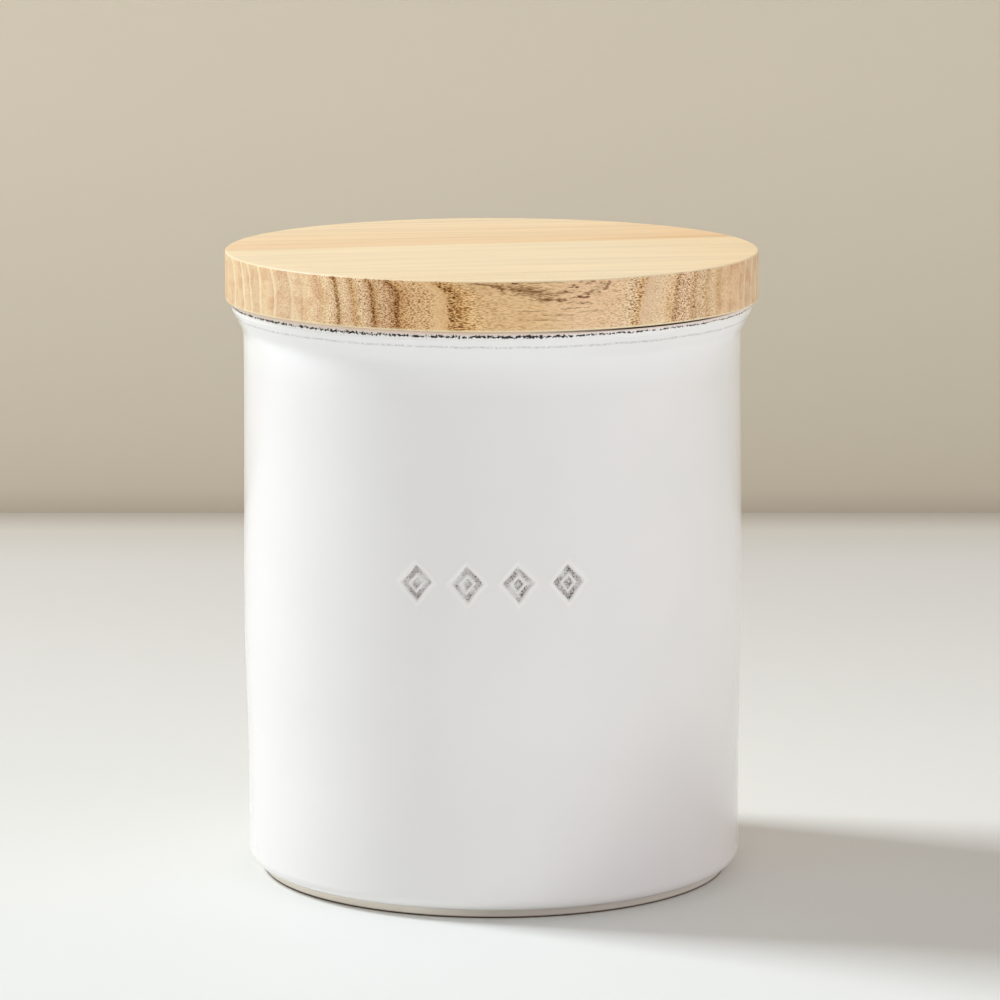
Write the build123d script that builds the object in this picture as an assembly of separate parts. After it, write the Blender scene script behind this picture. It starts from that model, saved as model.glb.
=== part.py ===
from build123d import *
import os
from math import degrees

# A kitchen salt keeper: a thrown and glazed stoneware jar with a row of marks pressed into its
# front, closed by a lift-off wooden lid. The lid is a turned disc with a smaller plug glued under
# it, and a ribbed silicone gasket sits in a groove round the plug and seals it in the mouth.
# Millimetres, +Z up, the front faces -Y, and the origin is the centre of the foot.

# Jar, outside of the wall
jar_height = 117.6        # from the foot to the rim that carries the lid
body_radius = 50.4        # outside of the wall, at the heel and under the lip
body_swell = 0.6          # how far the wall swells past body_radius
swell_height = 51.0       # height of the widest part of the wall
waist_height = 21.0       # the wall runs straight from the heel up to here
wall = 4.6                # thickness of the wall

# Jar, lip
lip_reach = 2.3           # how far the lip stands out past body_radius
lip_band = 2.0            # height of the lip's outer face
lip_taper = 4.35          # height over which the lip slopes back to the wall
lip_shoulder = 1.3        # rounding of the rim's outer edge
lip_round = 1.0           # rounding under the lip's outer face
cove_radius = 5.0         # hollow where the lip meets the wall
mouth_round = 1.2         # rounding of the rim's inner edge
mouth_run = 4.0           # straight wall left below the plug

# Jar, floor and foot
floor_thickness = 6.0
floor_fillet = 8.0        # inside, between the wall and the floor
heel_radius = 2.2         # outside, where the wall turns under
foot_height = 1.8
foot_inset = 0.7          # step from the heel in to the foot ring
foot_width = 5.0          # width of the ring that the jar stands on
foot_round = 0.5
foot_crease = 0.3         # rounding where the foot ring meets the base

# Marks pressed into the front: a row of nested diamonds, like salt crystals
stamp_count = 4
stamp_pitch = 10.0        # along the wall
stamp_height = 67.8       # centre of the row
stamp_width = 6.0
stamp_tall = 7.0
stamp_line = 0.9          # width of a pressed line
stamp_core = 0.36         # the inner diamond as a share of the outer one
stamp_depth = 0.5

# Lid disc
lid_thickness = 9.9
lid_overhang = 1.3        # past the lip, all round
lid_top_round = 0.5
lid_bottom_round = 0.35

# Lid plug and its gasket
plug_gap = 2.0            # between the plug and the mouth
plug_shoulder = 1.8       # wood above the groove
groove_height = 6.0
groove_depth = 2.0
plug_toe = 1.7            # wood below the groove
plug_round = 0.8
seal_clearance = 0.1      # gasket to groove, and fin tips to mouth
gasket_back = 1.6         # thickness of the band that lies in the groove
fin_count = 3
fin_root = 0.9            # thickness of a fin where it leaves the band
fin_tip = 0.5
fin_rise = 0.5            # how far a fin sweeps up towards its tip

# The largest share of a face that one rounding may take
round_share = 0.65

# Worked out from the values above
mouth_radius = body_radius - wall
lip_radius = body_radius + lip_reach
lid_radius = lip_radius + lid_overhang
foot_radius = body_radius - heel_radius - foot_inset
floor_top = foot_height + floor_thickness
cove_height = jar_height - lip_band - lip_taper
wall_top = cove_height - cove_radius / 2
plug_radius = mouth_radius - plug_gap
plug_depth = plug_shoulder + groove_height + plug_toe
groove_top = jar_height - plug_shoulder
groove_floor = plug_radius - groove_depth


def turned(outline):
    """The solid that a closed outline of (radius, height) edges makes when it is spun about Z."""
    return revolve(Plane.XZ * make_face(outline), Axis.Z)


def wall_curve(radius, top):
    """One face of the wall from the waist up: it leaves straight, swells and comes back straight."""
    low = (radius, waist_height)
    wide = (radius + body_swell, swell_height)
    high = (radius, top)
    return Spline(low, wide, high, tangents=[(0, 1), (0, 1)])


def jar_outside():
    """The foot, heel, wall and lip, from the centre of the base out and up to the middle of the rim."""
    foot_inner = foot_radius - foot_width
    heel = min(heel_radius, round_share * (waist_height - foot_height))
    foot = FilletPolyline(
        (0, foot_height),
        (foot_inner, foot_height),
        (foot_inner, 0),
        (foot_radius, 0),
        (foot_radius, foot_height),
        (body_radius, foot_height),
        (body_radius, waist_height),
        radius=[foot_crease, foot_round, foot_round, foot_crease, heel],
    )
    lip = FilletPolyline(
        (body_radius, wall_top),
        (body_radius, cove_height),
        (lip_radius, jar_height - lip_band),
        (lip_radius, jar_height),
        ((mouth_radius + lip_radius) / 2, jar_height),
        radius=[cove_radius, lip_round, min(lip_shoulder, round_share * lip_band)],
    )
    return [foot, wall_curve(body_radius, wall_top), lip]


def jar_inside():
    """The rim's inner edge, the straight mouth, the wall and the floor, back to the centre."""
    mouth_foot = jar_height - plug_depth - mouth_run
    mouth = FilletPolyline(
        ((mouth_radius + lip_radius) / 2, jar_height),
        (mouth_radius, jar_height),
        (mouth_radius, mouth_foot),
        radius=[mouth_round],
    )
    floor = FilletPolyline(
        (mouth_radius, waist_height),
        (mouth_radius, floor_top),
        (0, floor_top),
        radius=[min(floor_fillet, round_share * (waist_height - floor_top))],
    )
    middle = Line((0, floor_top), (0, foot_height))
    return [mouth, wall_curve(mouth_radius, mouth_foot), floor, middle]


def diamond(share):
    """A diamond of this share of a mark's full width and height."""
    across = share * stamp_width / 2
    up = share * stamp_tall / 2
    return make_face(Polyline((across, 0), (0, up), (-across, 0), (0, -up), close=True))


def pressed_marks():
    """The clay that the stamps push away, from the wall's face in to stamp_depth."""
    slant = (stamp_width**2 + stamp_tall**2) ** 0.5
    inset = 2 * stamp_line * slant / (stamp_width * stamp_tall)
    mark = diamond(1) - diamond(1 - inset) + diamond(stamp_core)
    inside_wall = Plane.XZ.offset(mouth_radius)
    prism = extrude(inside_wall * Pos(0, stamp_height) * mark, amount=lip_radius - mouth_radius)

    left_standing = body_radius - stamp_depth
    skin = turned([
        wall_curve(left_standing, wall_top),
        Line((left_standing, wall_top), (lip_radius, wall_top)),
        Line((lip_radius, wall_top), (lip_radius, waist_height)),
        Line((lip_radius, waist_height), (left_standing, waist_height)),
    ])
    pressed = prism & skin

    step = degrees(stamp_pitch / body_radius)
    first = -step * (stamp_count - 1) / 2
    return [Rot(Z=first + i * step) * pressed for i in range(stamp_count)]


def jar():
    """One fired piece: foot ring, floor, wall and lip, with the marks pressed into its front."""
    return turned(jar_outside() + jar_inside()) - pressed_marks()


def lid_disc():
    """A flat disc turned from one board. It rests on the rim and overhangs the lip."""
    top = jar_height + lid_thickness
    return turned(FilletPolyline(
        (0, jar_height),
        (lid_radius, jar_height),
        (lid_radius, top),
        (0, top),
        radius=[0, lid_bottom_round, lid_top_round, 0],
        close=True,
    ))


def lid_plug():
    """The smaller disc glued under the lid, with a groove turned round it for the gasket."""
    bottom = jar_height - plug_depth
    groove_bottom = groove_top - groove_height
    return turned(FilletPolyline(
        (0, bottom),
        (plug_radius, bottom),
        (plug_radius, groove_bottom),
        (groove_floor, groove_bottom),
        (groove_floor, groove_top),
        (plug_radius, groove_top),
        (plug_radius, jar_height),
        (0, jar_height),
        radius=[0, min(plug_round, round_share * plug_toe), 0, 0, 0, 0, 0, 0],
        close=True,
    ))


def lid_gasket():
    """A band that lies in the groove, with fins that sweep up and out to the mouth."""
    height = groove_height - 2 * seal_clearance
    bottom = groove_top - groove_height + seal_clearance
    inner = groove_floor + seal_clearance
    outer = inner + gasket_back
    tip = mouth_radius - seal_clearance
    pitch = height / fin_count

    section = make_face(Polyline(
        (inner, bottom),
        (outer, bottom),
        (outer, bottom + height),
        (inner, bottom + height),
        close=True,
    ))
    for i in range(fin_count):
        middle = bottom + (i + 0.5) * pitch
        root_z = middle - fin_rise / 2
        tip_z = middle + fin_rise / 2
        section += make_face(Polyline(
            (inner, root_z - fin_root / 2),
            (outer, root_z - fin_root / 2),
            (tip, tip_z - fin_tip / 2),
            (tip, tip_z + fin_tip / 2),
            (outer, root_z + fin_root / 2),
            (inner, root_z + fin_root / 2),
            close=True,
        ))
    return revolve(Plane.XZ * section, Axis.Z)


os.makedirs("parts", exist_ok=True)
export_step(jar(), "parts/jar.step")
export_step(lid_disc(), "parts/lid_disc.step")
export_step(lid_plug(), "parts/lid_plug.step")
export_step(lid_gasket(), "parts/lid_gasket.step")
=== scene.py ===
from math import atan2, ceil, cos, degrees, exp, pi, radians, sin, tan

import bpy
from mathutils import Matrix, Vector


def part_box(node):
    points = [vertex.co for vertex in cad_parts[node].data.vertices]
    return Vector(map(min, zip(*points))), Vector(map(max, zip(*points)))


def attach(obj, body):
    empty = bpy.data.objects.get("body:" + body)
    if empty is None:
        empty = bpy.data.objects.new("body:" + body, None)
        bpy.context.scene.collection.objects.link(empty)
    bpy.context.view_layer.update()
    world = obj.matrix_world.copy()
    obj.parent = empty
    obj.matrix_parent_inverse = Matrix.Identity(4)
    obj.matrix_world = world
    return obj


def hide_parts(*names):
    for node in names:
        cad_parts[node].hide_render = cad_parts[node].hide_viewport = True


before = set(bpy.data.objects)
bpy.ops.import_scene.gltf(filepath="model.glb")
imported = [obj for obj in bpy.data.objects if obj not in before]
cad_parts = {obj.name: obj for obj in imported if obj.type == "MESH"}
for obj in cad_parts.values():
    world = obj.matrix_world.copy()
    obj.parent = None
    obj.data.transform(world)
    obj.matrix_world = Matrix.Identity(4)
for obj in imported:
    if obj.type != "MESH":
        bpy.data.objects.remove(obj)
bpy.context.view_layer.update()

# --- Camera -------------------------------------------------------------------------------------
# A long lens about a metre away, a little above the lid, looks down at the front of the jar.
# The lens and its sensor are given in mm, and all places in metres.
lens = 180
sensor_width = 36
nearest_seen = 0.05
camera_distance = 1.007
camera_height = 0.2482
camera_aside = 0.00166
camera_tilt = radians(9.72)

bpy.ops.object.select_all(action="DESELECT")
bpy.ops.object.camera_add(
    location=(camera_aside, -camera_distance, camera_height),
    rotation=(pi / 2 - camera_tilt, 0, 0),
)
camera = bpy.context.object
camera.data.lens = lens
camera.data.sensor_width = sensor_width
camera.data.clip_start = nearest_seen
bpy.context.scene.camera = camera

# --- Studio -------------------------------------------------------------------------------------
# A pale worktop with a plain warm wall behind it. One soft lamp stands at the left and a little
# behind, a dim one at the right, and the room's light comes mostly from the sides.
wall_behind = 0.42
studio_reach = 4.0
side_reach = 0.15
paint_roughness = 0.6
lamp_target = (0, 0, 0.06)
horizon_light = 0.745
overhead_light = 0.235
right_gain = 1.55

# the paint's tints, by distance behind the jar on the worktop and by height on the wall, with
# painted shade darkening them towards the corner where the two meet
worktop_tints_with_shade = [
    (-0.40, "#f5f5f3"), (-0.10, "#f1f1ee"), (0.10, "#e9e8e3"), (0.27, "#dcd8d2"), (0.34, "#d7d2cb"),
    (0.392, "#ccc5ba"), (0.406, "#bdb4a6"), (wall_behind, "#aaa093"),
]
plaster_tints_with_shade = [
    (0.0, "#d6cab7"), (0.003, "#dbd0bd"), (0.007, "#e3d8c4"), (0.033, "#e4dac6"), (0.12, "#ede2cd"),
    (0.40, "#ede2cd"),
]


def linear(code):
    """The linear RGBA colour of an sRGB hex code."""
    channels = [int(code[i:i + 2], 16) / 255 for i in (1, 3, 5)]
    return (*[c / 12.92 if c <= 0.04045 else ((c + 0.055) / 1.055) ** 2.4 for c in channels], 1)


def add(tree, kind, inputs={}, stops=(), hold=False, **settings):
    """Adds a node with its settings, its values or links and its ramp's stops, which hold keeps from
    blending. Returns its outputs."""
    made = tree.nodes.new("ShaderNode" + kind)
    if hold:
        made.color_ramp.interpolation = "CONSTANT"
    for name, value in settings.items():
        setattr(made, name, value)
    for i, (place, colour) in enumerate(stops):
        if i > 1:
            made.color_ramp.elements.new(place)
        made.color_ramp.elements[i].position = place
        made.color_ramp.elements[i].color = colour
    for socket, value in inputs.items():
        if isinstance(value, bpy.types.NodeSocket):
            tree.links.new(value, made.inputs[socket])
        else:
            made.inputs[socket].default_value = value
    return made.outputs


def new_material(name):
    """A new material, with its node tree and its shader."""
    material = bpy.data.materials.new(name)
    material.use_nodes = True
    return material, material.node_tree, material.node_tree.nodes["Principled BSDF"]


def backdrop_paint(name, axis, tints, right_shade, lets_light_through):
    """Matt paint with painted shade, darker towards the corner where worktop and wall meet and towards
    the right, away from the light. It is clear from behind, so it never hides the object, and the wall
    doesn't block the lamp that stands behind it."""
    material, tree, shader = new_material(name)
    place = add(tree, "SeparateXYZ", {"Vector": add(tree, "TexCoord")["Object"]})
    first, last = tints[0][0], tints[-1][0]
    share = add(tree, "MapRange", {"Value": place[axis], 1: first, 2: last})["Result"]
    # painted shade: the tints darken towards the corner of worktop and wall
    colour = add(tree, "ValToRGB", {"Fac": share}, stops=[
        ((distance - first) / (last - first), linear(tint)) for distance, tint in tints
    ])["Color"]
    # painted shade: the paint darkens towards the right
    across = add(tree, "MapRange", {
        "Value": place["X"], 1: -side_reach, 2: side_reach, 3: 1, 4: right_shade,
    })["Result"]
    colour = add(tree, "VectorMath", {0: colour, "Scale": across}, operation="SCALE")["Vector"]
    tree.links.new(colour, shader.inputs["Base Color"])
    shader.inputs["Roughness"].default_value = paint_roughness
    behind = add(tree, "NewGeometry")["Backfacing"]
    front = add(tree, "Math", {0: 1.0, 1: behind}, operation="SUBTRACT")["Value"]
    if lets_light_through:
        ray = add(tree, "LightPath")
        looks = add(tree, "Math", {0: ray["Is Camera Ray"], 1: ray["Is Glossy Ray"]})["Value"]
        looks = add(tree, "Math", {0: looks, 1: ray["Is Transmission Ray"]}, use_clamp=True)["Value"]
        front = add(tree, "Math", {0: front, 1: looks}, operation="MULTIPLY")["Value"]
    clear = add(tree, "BsdfTransparent")["BSDF"]
    seen = add(tree, "MixShader", {0: front, 1: clear, 2: shader.outputs["BSDF"]})["Shader"]
    tree.links.new(seen, tree.nodes["Material Output"].inputs["Surface"])
    return material


bpy.ops.object.select_all(action="DESELECT")
bpy.ops.mesh.primitive_plane_add(size=2 * studio_reach)
worktop = bpy.context.object
worktop.name = "worktop"
worktop.data.materials.append(backdrop_paint("pale_worktop", "Y", worktop_tints_with_shade, 1.0, False))

bpy.ops.object.select_all(action="DESELECT")
bpy.ops.mesh.primitive_plane_add(
    size=2 * studio_reach,
    location=(0, wall_behind, studio_reach),
    rotation=(pi / 2, 0, 0),
)
bpy.ops.object.transform_apply(location=True, rotation=True, scale=True)
plaster = bpy.context.object
plaster.name = "plaster_wall"
plaster.data.materials.append(backdrop_paint("warm_plaster", "Z", plaster_tints_with_shade, 0.93, True))


def soft_lamp(name, place, size, watts, colour):
    """A square softbox that faces the middle of the jar."""
    bpy.ops.object.light_add(type="AREA", location=place)
    lamp = bpy.context.object
    lamp.name = name
    lamp.rotation_euler = (Vector(lamp_target) - Vector(place)).to_track_quat("-Z", "Y").to_euler()
    lamp.data.size = size
    lamp.data.energy = watts
    lamp.data.color = linear(colour)[:3]


soft_lamp("key_lamp", place=(-1.82, 0.608, 1.82), size=0.62, watts=56.6, colour="#f1f9ff")
soft_lamp("fill_lamp", place=(1.15, -0.95, 0.60), size=1.0, watts=3.3, colour="#fbfbff")

# the room: brightest round the horizon and at the right, dim overhead, warm towards the wall
world = bpy.data.worlds.new("studio_room")
world.use_nodes = True
tree = world.node_tree
towards = add(tree, "SeparateXYZ", {"Vector": add(tree, "TexCoord")["Object"]})
glow = add(tree, "MapRange", {
    "Value": towards["Z"], 1: 0.0, 2: 1.0, 3: horizon_light, 4: overhead_light,
})["Result"]
side = add(tree, "MapRange", {"Value": towards["X"], 1: 0.1, 2: 1.0, 3: 1.0, 4: right_gain})["Result"]
glow = add(tree, "Math", {0: glow, 1: side}, operation="MULTIPLY")["Value"]
hue = add(tree, "ValToRGB", {"Fac": towards["Y"]}, stops=[
    (0.0, linear("#ffffff")), (1.0, linear("#ffe4c0")),
])["Color"]
tree.links.new(glow, tree.nodes["Background"].inputs["Strength"])
tree.links.new(hue, tree.nodes["Background"].inputs["Color"])
bpy.context.scene.world = world
bpy.context.scene.view_settings.view_transform = "Standard"

# --- Jar ----------------------------------------------------------------------------------------
# Stoneware thrown on a wheel, so it is round but not quite true. The lip is rolled out and the foot
# is trimmed to a ring. Four diamonds are pressed into the soft clay of the front before firing.
mm = 0.001
jar_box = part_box("jar")
rim = jar_box[1][2]
lip_radius = jar_box[1][0]
lip_reach = 2.3 * mm
lip_band = 2.0 * mm
lip_height = 6.35 * mm
lip_shoulder = 1.3 * mm
lip_round = 1.0 * mm
cove_height = rim - lip_height
cove_radius = 5 * mm
body_radius = lip_radius - lip_reach
body_swell = 0.6 * mm
waist_height = 21 * mm
swell_height = 51 * mm
wall = 4.6 * mm
wall_top = cove_height - cove_radius / 2
mouth_radius = body_radius - wall
mouth_round = 1.2 * mm
mouth_depth = 13.5 * mm
mouth_foot = rim - mouth_depth
heel_round = 2.55 * mm
heel_crease = 0.35 * mm
foot_height = 1.8 * mm
foot_inset = 2.9 * mm
foot_radius = body_radius - foot_inset
foot_width = 5 * mm
foot_inner_round = 0.5 * mm
foot_round = 0.3 * mm
floor_thickness = 6 * mm
floor_top = foot_height + floor_thickness
floor_round = 8 * mm

mark_count = 4
mark_pitch = 10 * mm
mark_middle = 67.8 * mm
mark_half_width = 3.0 * mm
mark_half_height = 3.5 * mm
mark_line = 0.9 * mm
mark_core = 0.36
mark_depth = 0.45 * mm
mark_softness = 0.5 * mm
mark_waver = 0.12 * mm
waver_along = 0.9 * mm
waver_up = 0.8 * mm
mark_bead = 0.10 * mm
mark_margin = 1.4 * mm
mark_reach = 6 * mm

# the bead of clay round a mark: place and breadth in widths of its soft edge, and the strength of
# its painted highlight
bead_place = 1.2
bead_spread = 0.7
bead_highlight = 0.4

# where the glaze breaks dark, and how far the breaks drift up and down, in mm
break_height = 116.5
faint_height = 114.4
break_drift = 0.4

# how far the jar leans and wobbles from true, and how finely it is drawn
wheel_lean = 0.45 * mm
wheel_wobble = 0.10 * mm
wobble_twist = 30 * mm
fine_step = 0.25 * mm
coarse_step = 2.4 * mm
floor_step = 4 * coarse_step
round_steps = 160
weld = 0.002 * mm
smooth_angle = radians(35)


def rounded(corners, turn=10):
    """The points of a section, from (radius, height, rounding) corners whose roundings become arcs,
    with a point at least every turn degrees."""
    points = []
    for i, (r, z, rounding) in enumerate(corners):
        here = Vector((r, z))
        if not rounding:
            points.append(here)
            continue
        back = (Vector(corners[i - 1][:2]) - here).normalized()
        on = (Vector(corners[i + 1][:2]) - here).normalized()
        half = back.angle(on) / 2
        centre = here + (back + on).normalized() * rounding / sin(half)
        spoke = here + back * rounding / tan(half) - centre
        bend = pi - 2 * half
        way = 1 if back.cross(on) < 0 else -1
        steps = ceil(degrees(bend) / turn)
        for k in range(steps + 1):
            a = way * bend * k / steps
            turned = (spoke.x * cos(a) - spoke.y * sin(a), spoke.x * sin(a) + spoke.y * cos(a))
            points.append(centre + Vector(turned))
    return points


def spaced(points, step):
    """The same points, with more of them along every run that is longer than step."""
    dense = [points[0]]
    for a, b in zip(points, points[1:]):
        pieces = max(1, ceil((b - a).length / step))
        dense += [a.lerp(b, k / pieces) for k in range(1, pieces + 1)]
    return dense


def spun(name, section, sweeps):
    """Draws a section point by point and screws it round Z. A sweep is its start, angle and steps."""
    sectors = []
    for start, angle, steps in sweeps:
        heading = Vector((cos(start), sin(start), 0))
        places = [heading * r + Vector((0, 0, z)) for r, z in section]
        bpy.ops.object.select_all(action="DESELECT")
        bpy.ops.mesh.primitive_plane_add(size=mm, location=places[0], enter_editmode=True)
        bpy.ops.mesh.merge(type="CENTER")
        for here, there in zip(places, places[1:]):
            bpy.ops.mesh.extrude_region_move(TRANSFORM_OT_translate={"value": there - here})
        bpy.ops.object.mode_set(mode="OBJECT")
        bpy.ops.object.transform_apply(location=True, rotation=True, scale=True)
        bpy.ops.object.modifier_add(type="SCREW")
        screw = bpy.context.object.modifiers["Screw"]
        screw.angle = angle
        screw.steps = steps
        screw.render_steps = steps
        bpy.ops.object.modifier_apply(modifier="Screw")
        sectors.append(bpy.context.object)
    for sector in sectors:
        sector.select_set(True)
    bpy.ops.object.join()
    bpy.ops.object.mode_set(mode="EDIT")
    bpy.ops.mesh.select_all(action="SELECT")
    bpy.ops.mesh.remove_doubles(threshold=weld)
    bpy.ops.mesh.normals_make_consistent(inside=False)
    bpy.ops.object.mode_set(mode="OBJECT")
    piece = bpy.context.object
    piece.name = name
    piece.data.name = name
    bpy.ops.object.shade_smooth_by_angle(angle=smooth_angle)
    return piece


def swell(z, top):
    """How far the wall stands out at a height: none at the waist, most at swell_height, none at top."""
    if z < waist_height or z > top:
        return 0
    t = (z - waist_height) / (swell_height - waist_height)
    if z > swell_height:
        t = (top - z) / (top - swell_height)
    return body_swell * t * t * (3 - 2 * t)


def wall_points(radius, top):
    """One face of the wall, from the waist up to top, with fine rows across the band of the marks."""
    low = mark_middle - mark_half_height - mark_margin
    high = mark_middle + mark_half_height + mark_margin
    fine = fine_step if radius == body_radius else coarse_step
    heights = spaced([Vector((0, waist_height)), Vector((0, low))], coarse_step)
    heights += spaced([heights[-1], Vector((0, high))], fine)[1:]
    heights += spaced([heights[-1], Vector((0, top))], coarse_step)[1:]
    return [Vector((radius + swell(h.y, top), h.y)) for h in heights]


foot_and_heel = rounded([
    (0, foot_height, 0),
    (foot_radius - foot_width, foot_height, foot_round),
    (foot_radius - foot_width, 0, foot_inner_round),
    (foot_radius, 0, foot_round),
    (foot_radius, foot_height, heel_crease),
    (body_radius, foot_height, heel_round),
    (body_radius, waist_height, 0),
])
lip_and_mouth = rounded([
    (body_radius, wall_top, 0),
    (body_radius, cove_height, cove_radius),
    (lip_radius, rim - lip_band, lip_round),
    (lip_radius, rim, lip_shoulder),
    (mouth_radius, rim, mouth_round),
    (mouth_radius, mouth_foot, 0),
], turn=6)
floor_inside = rounded([
    (mouth_radius, waist_height, 0),
    (mouth_radius, floor_top, floor_round),
    (0, floor_top, 0),
], turn=6)
jar_section = (
    spaced(foot_and_heel, floor_step)[:-1]
    + wall_points(body_radius, wall_top)[:-1]
    + spaced(lip_and_mouth, coarse_step)[:-1]
    + wall_points(mouth_radius, mouth_foot)[::-1][:-1]
    + spaced(floor_inside, floor_step)
)
marked_angle = (mark_pitch * (mark_count - 1) / 2 + mark_half_width + mark_margin) / body_radius
jar = spun("stoneware_jar", jar_section, [
    (-pi / 2 - marked_angle, 2 * marked_angle, ceil(2 * marked_angle * body_radius / fine_step)),
    (-pi / 2 + marked_angle, 2 * pi - 2 * marked_angle, round_steps),
])


def pressed_by_stamp(along, z):
    """How deep a point lies in the nearest mark, from 0 to 1, and how much clay is beaded up there."""
    middles = [(i - (mark_count - 1) / 2) * mark_pitch for i in range(mark_count)]
    nearest = min(range(mark_count), key=lambda i: abs(along - middles[i]))
    x = abs(along - middles[nearest] + mark_waver * sin(z / waver_up))
    y = abs(z - mark_middle + mark_waver * sin(along / waver_along + nearest))
    slope = mark_half_width * mark_half_height / Vector((mark_half_width, mark_half_height)).length
    reach = x / mark_half_width + y / mark_half_height
    to_line = abs((reach - 1) * slope + mark_line / 2) - mark_line / 2
    to_core = (reach - mark_core) * slope
    edge = min(to_line, to_core) / mark_softness
    depth = min(1, max(0, 0.5 - edge))
    bead = exp(-((edge - bead_place) / bead_spread) ** 2)
    return depth * depth * (3 - 2 * depth), bead


# press in the marks, and leave the jar a little untrue
pressed_and_highlight = jar.data.attributes.new("pressed_and_highlight", "FLOAT", "POINT")
for vertex in jar.data.vertices:
    x, y, z = vertex.co
    radius = Vector((x, y)).length
    angle = atan2(x, -y)
    if radius > body_radius - mm and abs(angle) < marked_angle and abs(z - mark_middle) < mark_reach:
        depth, bead = pressed_by_stamp(angle * radius, z)
        grow = mark_bead * bead - mark_depth * depth
        x *= 1 + grow / radius
        y *= 1 + grow / radius
        # below zero the value carries the painted highlight on the bead round the mark
        pressed_and_highlight.data[vertex.index].value = depth - bead_highlight * bead * (1 - depth)
    wobble = wheel_wobble * sin(2 * angle + z / wobble_twist) * sin(pi * z / rim)
    sideways = wheel_lean * (1 - z / rim)
    vertex.co = (x * (1 + wobble / lip_radius) + sideways, y * (1 + wobble / lip_radius), z)


def greys(*levels, reach=1):
    """The grey stops of a ramp, from (place, level) pairs whose places run up to reach."""
    return [(place / reach, (level, level, level, 1)) for place, level in levels]


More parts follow.
